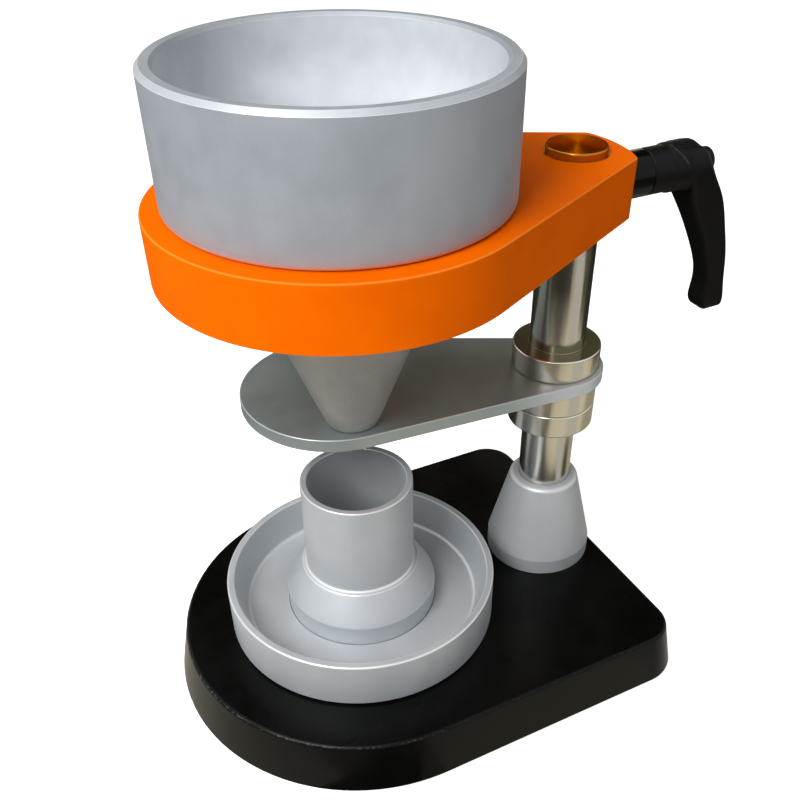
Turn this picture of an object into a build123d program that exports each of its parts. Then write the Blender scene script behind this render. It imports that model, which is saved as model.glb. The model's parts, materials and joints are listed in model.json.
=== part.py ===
from build123d import *

import os
from math import cos, sin, tau

# Bulk density apparatus: a funnel hopper on a clamped arm, a swing shutter under its spout,
# and a measuring cup that stands in an overflow dish on a heavy base.
# Millimetres, +Z up. The origin lies on the bench, on the axis that hopper and cup share.
# +X runs from that axis to the column.

# Base and sole
base_thickness = 25.0
base_half_width = 90.0
base_tail = 31.0
base_corner_radius = 20.0
base_draft = 10.0
base_edge_radius = 1.8
sole_thickness = 2.0
sole_proud = 1.0
sole_margin = 6.0

# Column and what holds it
reach = 101.0
column_radius = 12.5
foot_radius = 26.0
foot_band = 8.0
foot_height = 47.0
foot_top_wall = 3.8
foot_top_round = 3.0
foot_band_round = 3.0
bolt_radius = 4.0
bolt_grip = 20.0
bolt_head_radius = 6.5
bolt_head_height = 8.0
bolt_socket = 6.0
washer_radius = 8.0
washer_thickness = 1.6
cap_proud = 3.0
cap_thickness = 6.0
cap_chamfer = 0.8
cap_plug_radius = 6.0
cap_plug_length = 9.0

# Overflow dish and measuring cup
dish_radius = 63.0
dish_height = 24.5
dish_wall = 3.3
dish_floor = 8.5
dish_floor_radius = 54.5
dish_floor_round = 2.0
dish_edge = 0.8
dish_foot_chamfer = 1.5
seat_depth = 1.5
cup_bore = 22.0
cup_wall = 3.0
cup_depth = 65.8
cup_floor = 5.0
cup_foot_radius = 35.0
cup_foot_band = 11.5
cup_foot_height = 25.0
cup_band_round = 2.0
cup_neck_step = 2.0
cup_neck_round = 1.2
cup_edge = 0.6

# Shutter on the column
strike_gap = 25.7
shutter_radius = 42.0
shutter_thickness = 6.0
shutter_chamfer = 0.5
shutter_end_margin = 2.2
shutter_swing = 15.6
hub_height = 12.0
hub_spigot_wall = 3.5
collar_wall = 7.4
collar_height = 11.0
collar_chamfer = 0.7
set_screw_radius = 2.5
set_screw_socket = 2.5

# Arm and hopper
funnel_drop = 71.0
arm_thickness = 25.0
arm_ledge = 7.0
arm_side_wall = 4.0
arm_corner_wall = 4.2
arm_back_wall = 7.4
arm_corner_round = 4.0
arm_chamfer = 1.2
bush_wall = 0.5
bush_recess = 0.4
hopper_radius = 63.0
hopper_height = 47.5
hopper_wall = 6.0
hopper_chamfer = 2.0
hopper_inner_chamfer = 1.2
hopper_seat_round = 2.5
bowl_depth = 19.1
bowl_blend = 40.0
spigot_depth = 6.0
spigot_wall = 2.4
flange_recess = 2.5
flange_drop = 2.5
flange_step = 1.5
spout_radius = 11.1
spout_wall = 2.47

# Clamp lever
lever_drop = 1.7
stud_radius = 4.0
pad_length = 3.0
insert_radius = 9.7
insert_length = 12.6
insert_chamfer = 2.2
insert_gap = 1.2
insert_edge = 0.4
tooth_count = 24
tooth_root = 5.5
tooth_height = 0.9
tooth_length = 4.2
screw_radius = 2.5
screw_grip = 9.0
screw_head_radius = 4.3
screw_head_height = 3.0
screw_socket = 3.0
spring_length = 12.0
spring_wall = 1.2
web_thickness = 3.0
spring_room = 4.6
hub_step = 10.9
hub_step_height = 0.6
hub_straight = 24.4
hub_length = 35.0
hub_end_radius = 5.6
hub_shoulder_round = 3.0
hub_nose = 3.6
hub_nose_round = 0.8
# Lever handle, from inside the hub to its tip: drop, lean along the axis, half depth, half width
handle_crown = (-9.0, 18.9, 4.6, 4.9)
handle_cheek = (-5.2, 22.8, 6.1, 9.5)
handle_root = (1.0, 25.2, 6.5, 10.7)
handle_shoulder = (13.6, 32.2, 8.7, 8.6)
handle_upper = (28.0, 39.8, 7.7, 7.3)
handle_middle = (42.0, 45.8, 6.6, 6.4)
handle_waist = (54.5, 49.4, 5.8, 5.8)
handle_palm = (63.5, 50.2, 6.3, 6.1)
handle_tip = (72.5, 51.4, 5.6, 5.5)
handle_corner = 2.4
handle_tip_round = 2.0

# Clearances
running_fit = 0.05
slip_fit = 0.05
loose_fit = 0.3
face_gap = 0.1
spout_gap = 0.4
thread_fit = 0.1
tooth_fit = 0.15

# Heights that follow, from the bench upwards
base_bottom = sole_proud
base_top = base_bottom + base_thickness
bolt_seat = sole_thickness + bolt_head_height + washer_thickness + loose_fit
cup_bottom = base_top + dish_floor - seat_depth
cup_top = cup_bottom + cup_floor + cup_depth
shutter_bottom = cup_top + strike_gap
shutter_top = shutter_bottom + shutter_thickness
upper_collar_bottom = shutter_top + face_gap
lower_collar_bottom = shutter_bottom - hub_height - face_gap - collar_height
arm_bottom = shutter_top + funnel_drop
arm_top = arm_bottom + arm_thickness
hopper_top = arm_top + hopper_height
bowl_bottom = hopper_top - bowl_depth
funnel_top = arm_top - flange_recess
spigot_bottom = arm_top - spigot_depth
flange_bottom = spigot_bottom - flange_drop
spout_tip = shutter_top + spout_gap
column_top = arm_top + cap_proud - cap_thickness
lever_height = arm_bottom + arm_thickness / 2 - lever_drop
low_bush_bottom = arm_bottom + bush_recess
bush_height = lever_height - stud_radius - loose_fit - low_bush_bottom
high_bush_bottom = arm_top - bush_recess - bush_height

# Radii that follow
running_bore = column_radius + running_fit
slip_bore = column_radius + slip_fit
collar_radius = column_radius + collar_wall
hub_spigot_radius = column_radius + hub_spigot_wall
bush_radius = running_bore + bush_wall
arm_radius = hopper_radius + arm_ledge
arm_column_bore = bush_radius + running_fit
hopper_bore = hopper_radius - hopper_wall
cup_radius = cup_bore + cup_wall
throat_radius = spout_radius - spout_wall
cone_slope = (hopper_bore - throat_radius) / (bowl_bottom - spout_tip)
cone_join_radius = throat_radius + cone_slope * (funnel_top - spout_tip)
flange_cone_radius = spout_radius + cone_slope * (flange_bottom - spout_tip)
flange_radius = flange_cone_radius + flange_step
spigot_radius = flange_radius + slip_fit + spigot_wall

# Places along the lever's axis, measured from the cup axis
arm_end = reach + arm_column_bore + arm_back_wall
pad_start = reach + column_radius + face_gap
stud_start = pad_start + pad_length
insert_start = arm_end + insert_gap
insert_end = insert_start + insert_length
tooth_end = insert_end + tooth_length
hub_start = insert_end + face_gap
web_start = tooth_end + face_gap
web_end = web_start + web_thickness
screw_head_start = web_end + spring_length
hub_end = hub_start + hub_length

ALONG_X = Plane(origin=(0, 0, lever_height), x_dir=(0, 1, 0), z_dir=(1, 0, 0))


def disc(radius, height, x=0.0, y=0.0, z=0.0):
    """Upright cylinder that stands on z."""
    return Pos(x, y, z) * Cylinder(radius, height, align=(Align.CENTER, Align.CENTER, Align.MIN))


def rod(radius, start, end):
    """Cylinder on the lever's axis."""
    return ALONG_X * disc(radius, end - start, z=start)


def turned(corners, x=0.0):
    """Solid of revolution about an upright axis, from (radius, height, rounding) corners."""
    points = [(radius, height) for radius, height, _ in corners]
    rounds = [rounding for _, _, rounding in corners]
    profile = make_face(FilletPolyline(*points, radius=rounds, close=True))
    return Pos(x, 0, 0) * revolve(Plane.XZ * profile, Axis.Z)


def turned_on_lever(corners):
    """Solid of revolution about the lever's axis, from (radius, place, rounding) corners."""
    return ALONG_X * turned(corners)


def hexagon(across_flats, depth):
    return extrude(RegularPolygon(across_flats / 2, 6, major_radius=False), depth)


def base_outline(half_width, tail, corner):
    """Round in front, straight at the sides, with two rounded corners behind the column."""
    rear = reach + tail
    outline = Circle(half_width) + Pos(rear / 2, 0) * Rectangle(rear, 2 * half_width)
    return fillet(outline.vertices().group_by(Axis.X)[-1], corner)


def sole_outline(clearance):
    inset = sole_margin + clearance
    corner = base_corner_radius - inset
    return base_outline(base_half_width - inset, base_tail - inset, corner)


def make_base_plate():
    outline = base_outline(base_half_width, base_tail, base_corner_radius)
    plate = extrude(Pos(0, 0, base_bottom) * outline, base_thickness, taper=base_draft)
    plate = fillet(plate.faces().sort_by(Axis.Z)[-1].edges(), base_edge_radius)
    pocket_depth = sole_thickness - sole_proud
    plate -= extrude(Pos(0, 0, base_bottom) * sole_outline(0), pocket_depth)
    plate -= disc(bolt_radius + loose_fit, base_thickness, reach, 0, base_bottom)
    plate -= disc(washer_radius + loose_fit, bolt_seat - base_bottom, reach, 0, base_bottom)
    return plate


def make_rubber_sole():
    return extrude(sole_outline(slip_fit), sole_thickness)


def make_column_washer():
    seat = bolt_seat - washer_thickness
    return disc(washer_radius, washer_thickness, reach, 0, seat) - disc(
        bolt_radius + slip_fit, washer_thickness, reach, 0, seat
    )


def make_column_bolt():
    head_top = bolt_seat - washer_thickness
    head = disc(bolt_head_radius, bolt_head_height, reach, 0, head_top - bolt_head_height)
    shank = disc(bolt_radius, base_top + bolt_grip - head_top, reach, 0, head_top)
    socket = hexagon(bolt_socket, bolt_head_height / 2)
    return head + shank - Pos(reach, 0, head_top - bolt_head_height) * socket


def make_column_foot():
    corners = [
        (slip_bore, base_top, 0),
        (foot_radius, base_top, 0),
        (foot_radius, base_top + foot_band, foot_band_round),
        (slip_bore + foot_top_wall, base_top + foot_height, foot_top_round),
        (slip_bore, base_top + foot_height, 0),
    ]
    return turned(corners, reach)


def make_column():
    column = disc(column_radius, column_top - base_top, reach, 0, base_top)
    column -= disc(bolt_radius + slip_fit, bolt_grip + loose_fit, reach, 0, base_top)
    plug_room = cap_plug_length + loose_fit
    return column - disc(cap_plug_radius + slip_fit, plug_room, reach, 0, column_top - plug_room)


def make_column_cap():
    top = column_top + cap_thickness
    corners = [
        (0, column_top - cap_plug_length, 0),
        (cap_plug_radius, column_top - cap_plug_length, 0),
        (cap_plug_radius, column_top, 0),
        (column_radius, column_top, 0),
        (column_radius, top - cap_chamfer, 0),
        (column_radius - cap_chamfer, top, 0),
        (0, top, 0),
    ]
    return turned(corners, reach)


def make_overflow_dish():
    seat = cup_foot_radius + loose_fit
    top = base_top + dish_height
    corners = [
        (0, base_top, 0),
        (dish_radius - dish_foot_chamfer, base_top, 0),
        (dish_radius, base_top + dish_foot_chamfer, 0),
        (dish_radius, top - dish_edge, 0),
        (dish_radius - dish_edge, top, 0),
        (dish_radius - dish_wall + dish_edge, top, 0),
        (dish_radius - dish_wall, top - dish_edge, 0),
        (dish_floor_radius, base_top + dish_floor, dish_floor_round),
        (seat, base_top + dish_floor, 0),
        (seat, cup_bottom, 0),
        (0, cup_bottom, 0),
    ]
    return turned(corners)


def make_measuring_cup():
    neck = cup_bottom + cup_foot_height
    corners = [
        (0, cup_bottom, 0),
        (cup_foot_radius, cup_bottom, 0),
        (cup_foot_radius, cup_bottom + cup_foot_band, cup_band_round),
        (cup_radius + cup_neck_step, neck, cup_neck_round),
        (cup_radius, neck, 0),
        (cup_radius, cup_top - cup_edge, 0),
        (cup_radius - cup_edge, cup_top, 0),
        (cup_bore + cup_edge, cup_top, 0),
        (cup_bore, cup_top - cup_edge, 0),
        (cup_bore, cup_bottom + cup_floor, 0),
        (0, cup_bottom + cup_floor, 0),
    ]
    return turned(corners)


def on_column(solid):
    """Turns a piece of the shutter about the column to where it rests."""
    return Pos(reach, 0, 0) * Rot(0, 0, -shutter_swing) * Pos(-reach, 0, 0) * solid


def make_shutter_plate():
    end = collar_radius + shutter_end_margin
    rims = Circle(shutter_radius).edges() + (Pos(reach, 0) * Circle(end)).edges()
    plate = extrude(Pos(0, 0, shutter_bottom) * make_hull(rims), shutter_thickness)
    plate = chamfer(plate.faces().sort_by(Axis.Z)[-1].edges(), shutter_chamfer)
    plate -= disc(hub_spigot_radius + slip_fit, shutter_thickness, reach, 0, shutter_bottom)
    return on_column(plate)


def ring(bore, radius, bottom, height, edge):
    """Turned collar round the column, with a chamfer on both outer edges."""
    corners = [
        (bore, bottom, 0),
        (radius - edge, bottom, 0),
        (radius, bottom + edge, 0),
        (radius, bottom + height - edge, 0),
        (radius - edge, bottom + height, 0),
        (bore, bottom + height, 0),
    ]
    return turned(corners, reach)


def make_shutter_hub():
    body = ring(running_bore, collar_radius, shutter_bottom - hub_height, hub_height, collar_chamfer)
    spigot = disc(hub_spigot_radius, shutter_thickness, reach, 0, shutter_bottom)
    spigot -= disc(running_bore, shutter_thickness, reach, 0, shutter_bottom)
    return body + spigot


def screw_hole(bottom, radius, depth):
    """Radial hole or screw at the middle of a collar, on its +Y side."""
    middle = bottom + collar_height / 2
    start = column_radius + face_gap
    return Pos(reach, start, middle) * Rot(-90, 0, 0) * disc(radius, depth)


def make_collar(bottom):
    collar = ring(slip_bore, collar_radius, bottom, collar_height, collar_chamfer)
    return collar - screw_hole(bottom, set_screw_radius + slip_fit, collar_wall)


def make_collar_set_screws():
    length = collar_wall - collar_chamfer
    screws = []
    for bottom in (lower_collar_bottom, upper_collar_bottom):
        middle = bottom + collar_height / 2
        end = column_radius + face_gap + length
        socket = Pos(reach, end, middle) * Rot(90, 0, 0) * hexagon(set_screw_socket, length / 2)
        screws.append(screw_hole(bottom, set_screw_radius, length) - socket)
    return Compound(children=[screw.solid() for screw in screws])


def make_guide_bushes():
    """Two thin liners in the arm's bore, above and below the pressure pad."""
    bushes = []
    for bottom in (low_bush_bottom, high_bush_bottom):
        liner = disc(bush_radius, bush_height, reach, 0, bottom)
        bushes.append((liner - disc(running_bore, bush_height, reach, 0, bottom)).solid())
    return Compound(children=bushes)


def arm_outline():
    """Round under the hopper, with straight flanks that taper to a slightly crowned rear end."""
    corner_x = reach + arm_column_bore + arm_corner_wall
    corner_y = arm_column_bore + arm_side_wall
    rear = ThreePointArc((corner_x, -corner_y), (arm_end, 0), (corner_x, corner_y))
    outline = make_hull(Circle(arm_radius).edges() + rear.edges())
    return fillet(outline.vertices().group_by(Axis.X)[-1], arm_corner_round)


def make_arm():
    arm = extrude(Pos(0, 0, arm_bottom) * arm_outline(), arm_thickness)
    arm = chamfer(arm.faces().sort_by(Axis.Z)[-1].edges(), arm_chamfer)
    arm = chamfer(arm.faces().sort_by(Axis.Z)[0].edges(), arm_chamfer / 2)
    arm -= disc(spigot_radius + loose_fit, arm_thickness, 0, 0, arm_bottom)
    arm -= disc(arm_column_bore, arm_thickness, reach, 0, arm_bottom)
    return arm - rod(stud_radius + thread_fit, reach, arm_end)


def make_hopper():
    """Turned bowl that stands on the arm, with a spigot that centres it in the arm's bore."""
    corners = [
        (cone_join_radius, funnel_top, 0),
        (flange_radius + slip_fit, funnel_top, 0),
        (flange_radius + slip_fit, spigot_bottom, 0),
        (spigot_radius, spigot_bottom, 0),
        (spigot_radius, arm_top, 0),
        (hopper_radius, arm_top, hopper_seat_round),
        (hopper_radius, hopper_top - hopper_chamfer, 0),
        (hopper_radius - hopper_chamfer, hopper_top, 0),
        (hopper_bore + hopper_inner_chamfer, hopper_top, 0),
        (hopper_bore, hopper_top - hopper_inner_chamfer, 0),
        (hopper_bore, bowl_bottom, bowl_blend),
    ]
    return turned(corners)


def make_funnel():
    """Cone pressed into the bowl's spigot by its flange, which carries the bowl's slope to the spout."""
    corners = [
        (throat_radius, spout_tip, 0),
        (spout_radius, spout_tip, 0),
        (flange_cone_radius, flange_bottom, 0),
        (flange_radius, flange_bottom, 0),
        (flange_radius, funnel_top, 0),
        (cone_join_radius, funnel_top, 0),
    ]
    return turned(corners)


def make_clamp_pad():
    return rod(stud_radius - thread_fit, pad_start, stud_start)


def serration(clearance):
    """Star of fine triangular teeth, as cut on the insert and in the lever's hub."""
    low = tooth_root + clearance
    points = []
    for step in range(2 * tooth_count):
        radius = low + tooth_height * (step % 2)
        angle = tau * step / (2 * tooth_count)
        points.append((radius * cos(angle), radius * sin(angle)))
    return make_face(Polyline(*points, close=True))


def make_clamp_stud():
    stud = rod(stud_radius, stud_start, insert_start)
    corners = [
        (0, insert_start, 0),
        (insert_radius - insert_chamfer / 2, insert_start, 0),
        (insert_radius, insert_start + insert_chamfer, 0),
        (insert_radius, insert_end - insert_edge, 0),
        (insert_radius - insert_edge, insert_end, 0),
        (0, insert_end, 0),
    ]
    teeth = extrude(ALONG_X * Pos(0, 0, insert_end) * serration(0), tooth_length)
    insert = stud + turned_on_lever(corners) + teeth
    return insert - rod(screw_radius + thread_fit, tooth_end - screw_grip - loose_fit, tooth_end)


def make_clamp_retaining_screw():
    head_end = screw_head_start + screw_head_height
    shank = rod(screw_radius, tooth_end - screw_grip, screw_head_start)
    head = rod(screw_head_radius, screw_head_start, head_end)
    depth = screw_head_height / 2
    return shank + head - ALONG_X * Pos(0, 0, head_end - depth) * hexagon(screw_socket, depth)


def make_clamp_spring():
    bore = screw_radius + loose_fit
    start = web_end + face_gap
    end = screw_head_start - face_gap
    return rod(bore + spring_wall, start, end) - rod(bore, start, end)


def lever_hub():
    step = hub_start + hub_step
    straight_end = hub_start + hub_straight
    corners = [
        (0, hub_start, 0),
        (insert_radius - insert_edge, hub_start, 0),
        (insert_radius, hub_start + insert_edge, 0),
        (insert_radius, step - hub_step_height, 0),
        (insert_radius + hub_step_height, step + hub_step_height, 0),
        (insert_radius + hub_step_height, straight_end, hub_shoulder_round),
        (hub_end_radius, hub_end - hub_nose, hub_nose_round),
        (hub_end_radius, hub_end, hub_nose_round),
        (0, hub_end, 0),
    ]
    return turned_on_lever(corners)


def handle_section(drop, lean, half_depth, half_width):
    corner = min(handle_corner, 0.9 * half_width, 0.9 * half_depth)
    outline = RectangleRounded(2 * half_depth, 2 * half_width, corner)
    return Pos(insert_end + lean, 0, lever_height - drop) * outline


def make_clamp_lever():
    stations = [handle_crown, handle_cheek, handle_root, handle_shoulder, handle_upper]
    stations += [handle_middle, handle_waist, handle_palm, handle_tip]
    handle = loft([handle_section(*station) for station in stations])
    handle = fillet(handle.faces().sort_by(Axis.Z)[0].edges(), handle_tip_round)
    lever = lever_hub() + handle
    lever -= extrude(ALONG_X * Pos(0, 0, hub_start) * serration(tooth_fit), web_start - hub_start)
    lever -= rod(screw_radius + loose_fit, web_start, web_end)
    return lever - rod(spring_room, web_end, hub_end + handle_tip_round)


pieces = {
    "base_plate": make_base_plate(),
    "rubber_sole": make_rubber_sole(),
    "column_foot": make_column_foot(),
    "column": make_column(),
    "column_bolt": make_column_bolt(),
    "column_washer": make_column_washer(),
    "column_cap": make_column_cap(),
    "overflow_dish": make_overflow_dish(),
    "measuring_cup": make_measuring_cup(),
    "shutter_plate": make_shutter_plate(),
    "shutter_hub": make_shutter_hub(),
    "upper_collar": make_collar(upper_collar_bottom),
    "lower_collar": make_collar(lower_collar_bottom),
    "collar_set_screws": make_collar_set_screws(),
    "guide_bushes": make_guide_bushes(),
    "arm": make_arm(),
    "hopper": make_hopper(),
    "funnel": make_funnel(),
    "clamp_pad": make_clamp_pad(),
    "clamp_stud": make_clamp_stud(),
    "clamp_retaining_screw": make_clamp_retaining_screw(),
    "clamp_spring": make_clamp_spring(),
    "clamp_lever": make_clamp_lever(),
}

os.makedirs("parts", exist_ok=True)
for name, piece in pieces.items():
    export_step(piece, f"parts/{name}.step")
    print(name, round(piece.volume), "mm3")
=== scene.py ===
# %% [markdown]
# # A bulk density apparatus, dressed in Blender
# Powder goes into the hopper, the shutter under its spout swings away, and the powder falls into
# the cup. What spills over stays in the dish. The packed model brings every piece at its real
# place, and this lesson gives the pieces their edges, their finishes and their light.

# %% Load the packed model
import json
import math

import bmesh
import bpy
from mathutils import Euler, Matrix, Vector

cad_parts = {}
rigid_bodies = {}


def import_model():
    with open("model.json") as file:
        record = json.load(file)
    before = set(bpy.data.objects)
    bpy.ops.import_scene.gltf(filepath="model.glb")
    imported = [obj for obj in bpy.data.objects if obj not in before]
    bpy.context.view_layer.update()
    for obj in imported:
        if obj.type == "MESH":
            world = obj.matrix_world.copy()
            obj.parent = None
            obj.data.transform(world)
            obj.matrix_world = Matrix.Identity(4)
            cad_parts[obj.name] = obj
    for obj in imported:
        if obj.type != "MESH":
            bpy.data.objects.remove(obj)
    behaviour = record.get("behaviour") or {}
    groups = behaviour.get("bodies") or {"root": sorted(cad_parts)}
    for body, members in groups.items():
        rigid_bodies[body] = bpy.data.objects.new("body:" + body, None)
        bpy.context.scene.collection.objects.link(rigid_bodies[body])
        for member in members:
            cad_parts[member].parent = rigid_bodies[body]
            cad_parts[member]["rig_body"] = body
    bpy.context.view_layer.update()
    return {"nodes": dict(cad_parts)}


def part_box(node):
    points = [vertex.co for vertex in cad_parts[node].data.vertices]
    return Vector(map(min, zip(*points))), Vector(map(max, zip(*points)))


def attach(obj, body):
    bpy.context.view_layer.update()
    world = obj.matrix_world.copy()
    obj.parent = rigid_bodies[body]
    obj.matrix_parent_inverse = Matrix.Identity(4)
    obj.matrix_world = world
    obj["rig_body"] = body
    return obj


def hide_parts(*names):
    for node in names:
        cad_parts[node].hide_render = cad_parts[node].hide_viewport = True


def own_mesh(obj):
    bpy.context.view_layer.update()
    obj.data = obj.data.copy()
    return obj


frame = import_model()
MM = 0.001
scene = bpy.context.scene


# %% [markdown]
# ## Camera
# The photograph looks down on the front left of the apparatus from close by, so straight edges
# run together strongly. A camera moved by eye hardly ever matches such a view, so its place and
# focal length were worked out from the ellipses of the round pieces. The small shift only frames
# the object as the photograph does.

# %% Set the camera
CAMERA_PLACE = (-121.82, -300.76, 357.18)
CAMERA_PITCH = 51.42
CAMERA_ROLL = 0.21
CAMERA_YAW = -27.49
FOCAL_LENGTH = 41.94
SENSOR_WIDTH = 36.0
FRAME_SHIFT = (-0.0325, 0.1073)
NEAREST_SEEN = 0.01

camera_data = bpy.data.cameras.new("bench_camera")
camera_data.sensor_width = SENSOR_WIDTH
camera_data.lens = FOCAL_LENGTH
camera_data.shift_x, camera_data.shift_y = FRAME_SHIFT
camera_data.clip_start = NEAREST_SEEN
camera = bpy.data.objects.new("bench_camera", camera_data)
turn = Euler((math.radians(CAMERA_PITCH), 0, math.radians(CAMERA_YAW))).to_matrix().to_4x4()
roll = Matrix.Rotation(math.radians(CAMERA_ROLL), 4, "Z")
camera.matrix_world = Matrix.Translation(Vector(CAMERA_PLACE) * MM) @ turn @ roll
scene.collection.objects.link(camera)
scene.camera = camera
scene.view_settings.view_transform = "Standard"
print("camera", [round(v, 3) for v in camera.location])


# %% [markdown]
# ## Shader maths
# A finish is easier to read as a sum than as a web of nodes. Every node could be made and linked
# by hand, at three lines apiece. Here `Value` wraps a socket, so that `1 - mask * 0.3` adds its
# Math nodes by itself. Colours go through Mix, because a Math node would turn them grey.

# %% Values
class Value:
    """A socket that adds Math nodes where it is used in an expression."""

    def __init__(self, nodes, socket):
        self.nodes = nodes
        self.socket = socket

    def maths(self, operation, first, second):
        return self.nodes.node("ShaderNodeMath", {"operation": operation}, {0: first, 1: second})

    def __add__(self, other):
        return self.maths("ADD", self, other)

    def __sub__(self, other):
        return self.maths("SUBTRACT", self, other)

    def __rsub__(self, other):
        return self.maths("SUBTRACT", other, self)

    def __mul__(self, other):
        return self.maths("MULTIPLY", self, other)

    def __pow__(self, other):
        return self.maths("POWER", self, other)

    def __rpow__(self, other):
        return self.maths("POWER", other, self)

    __radd__ = __add__
    __rmul__ = __mul__


print("values add, subtract, multiply and take powers")


# %% [markdown]
# A tree of nodes can belong to a material, to the surround or to a modifier, and nodes are added
# alike in all of them. A function for each kind of node would make a long list. Here one method
# takes the kind, its settings and its sockets, so that any other node is one line.

# %% Trees of nodes
class Nodes:
    """A tree of nodes, with one method that adds any of them."""

    def __init__(self, tree):
        self.tree = tree

    def feed(self, socket, value):
        """Sets a number on a socket, or links a value to it."""
        if isinstance(value, Value):
            self.tree.links.new(value.socket, socket)
        else:
            socket.default_value = value

    def node(self, kind, settings=None, sockets=None, output=0):
        """Adds a node, its settings first and then its sockets, and gives an output if it has one."""
        made = self.tree.nodes.new(kind)
        for name, value in (settings or {}).items():
            setattr(made, name, value)
        for name, value in (sockets or {}).items():
            self.feed(made.inputs[name], value)
        return Value(self, made.outputs[output]) if made.outputs else None


print("a tree of nodes has", [name for name in vars(Nodes) if not name.startswith("_")])


# %% [markdown]
# ## What all finishes share
# A finish is one material with a Principled shader. A number that is the same all over is set on
# the shader, and only what changes over the surface is linked. Pictures would need unwrapping and
# blur up close, so the change comes from noise: its clouds are stretched to the share that is
# wanted, blend two colours and lift a bump. Object coordinates keep it still when a piece moves.

# %% Finishes
class Finish(Nodes):
    """One material, with its Principled shader and the nodes that finishes share."""

    def __init__(self, name, constants):
        self.material = bpy.data.materials.new(name)
        self.material.use_nodes = True
        super().__init__(self.material.node_tree)
        self.shader = self.tree.nodes["Principled BSDF"]
        for socket, value in constants.items():
            self.set(socket, value)

    def set(self, socket, value):
        self.feed(self.shader.inputs[socket], value)

    def place(self):
        """Object coordinates, which are the part's own frame in metres."""
        return self.node("ShaderNodeTexCoord", output="Object")

    def noise(self, scale, detail=2.0, roughness=0.5):
        """Cloudy values about 0.5, with this many cells to a metre."""
        sockets = {"Vector": self.place(), "Scale": scale, "Detail": detail, "Roughness": roughness}
        return self.node("ShaderNodeTexNoise", None, sockets)

    def spread(self, value, low, high):
        """Stretches low..high of a value to 0..1, with soft ends."""
        sockets = {0: value, 1: low, 2: high, 3: 0.0, 4: 1.0}
        return self.node("ShaderNodeMapRange", {"interpolation_type": "SMOOTHSTEP"}, sockets)

    def mix(self, factor, first, second):
        """Blends two colours."""
        return self.node("ShaderNodeMix", {"data_type": "RGBA"}, {0: factor, 6: first, 7: second}, 2)

    def bump(self, height, strength, distance):
        sockets = {"Height": height, "Strength": strength, "Distance": distance}
        self.set("Normal", self.node("ShaderNodeBump", None, sockets))

    def attribute(self, name):
        return self.node("ShaderNodeAttribute", {"attribute_name": name}, None, "Fac")


print("a finish has", [name for name in vars(Finish) if not name.startswith("_")])


# %% [markdown]
# ## Bead blasted aluminium
# Most pieces are turned from aluminium, blasted with glass beads and anodised. Up close that is
# a fine grain, and from a step away a soft grey with faint smudges of handling. A grey with some
# roughness would look like plastic, so the grain is bump and speckle, and the smudges vary colour
# and roughness together. Edges are painted lighter, partly as wear and partly as a painted
# highlight: an attribute that the lathe writes marks them. The bowl's inside is painted lighter, as
# painted light, and so is the shutter's end in front of the column.

# %% Blasted finish
GRAIN = 1700.0
SMUDGES = 26.0
STREAKS = 130.0
# This mark tells the finishes where to paint edges lighter, as wear and as a painted highlight.
EDGE_ATTRIBUTE = "edge_wear_and_highlight"
BOWL_ATTRIBUTE = "painted_bowl_light"
STREAK_SHARE = 0.25
SPECKLE_SHARE = 0.3
CLOUD_ROUGHNESS = 0.09
EDGE_SHARE = 0.6
EDGE_POLISH = 0.16
BRIGHT_EDGE = (0.88, 0.89, 0.90)
# The inside of the bowl is painted lighter with this colour and made less metallic: painted light.
BOWL_LIGHT_COLOUR = (0.72, 0.745, 0.78)
BOWL_LIGHT_COVER = 0.55
BOWL_LIGHT_CLOUDS = 0.25
BOWL_LIGHT_ROUGHNESS = 0.12
# The shutter's end in front of the column is painted lighter and less metallic: painted light from that
# side.
LIT_END_TOWARDS = (0.45, -0.89, 0.0)
LIT_END_FROM = 43.0
LIT_END_TO = 62.0
LIT_END_LIGHTER = 0.42
LIT_END_DULLER = 0.35


def opaque(colour):
    return (*colour, 1)


def painted_lit_end(finish):
    """1 on the shutter's end in front of the column, which is painted lighter and duller as painted light,
    and 0 elsewhere.
    """
    sockets = {0: finish.place(), 1: LIT_END_TOWARDS}
    along = finish.node("ShaderNodeVectorMath", {"operation": "DOT_PRODUCT"}, sockets, "Value")
    return finish.spread(along, LIT_END_FROM * MM, LIT_END_TO * MM)


def blasted_finish(name, dark, light, roughness, metallic, lit_bowl=False, lit_end=False):
    finish = Finish(name, {"Metallic": metallic})
    smudge = finish.noise(SMUDGES, detail=3.0, roughness=0.6)
    streak = finish.noise(STREAKS)
    cloud = finish.spread((1 - STREAK_SHARE) * smudge + STREAK_SHARE * streak, low=0.34, high=0.66)
    grain = finish.noise(GRAIN)
    speckle = finish.spread(grain, low=0.3, high=0.7)
    wear_and_light = finish.attribute(EDGE_ATTRIBUTE)
    tone = (1 - SPECKLE_SHARE) * cloud + SPECKLE_SHARE * speckle
    body = finish.mix(tone, opaque(dark), opaque(light))
    bright = wear_and_light * EDGE_SHARE
    rough = roughness + CLOUD_ROUGHNESS * cloud - EDGE_POLISH * wear_and_light
    if lit_bowl:
        bowl = finish.attribute(BOWL_ATTRIBUTE)
        cover = bowl * (BOWL_LIGHT_COVER + BOWL_LIGHT_CLOUDS * cloud)
        body = finish.mix(cover, body, opaque(BOWL_LIGHT_COLOUR))
        rough = rough + BOWL_LIGHT_ROUGHNESS * bowl
        finish.set("Metallic", metallic * (1 - bowl))
    if lit_end:
        end_light = painted_lit_end(finish)
        bright = bright + LIT_END_LIGHTER * end_light
        finish.set("Metallic", metallic - LIT_END_DULLER * end_light)
    finish.set("Base Color", finish.mix(bright, body, opaque(BRIGHT_EDGE)))
    finish.set("Roughness", rough)
    finish.bump(grain, strength=0.3, distance=0.05 * MM)
    return finish.material


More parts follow.
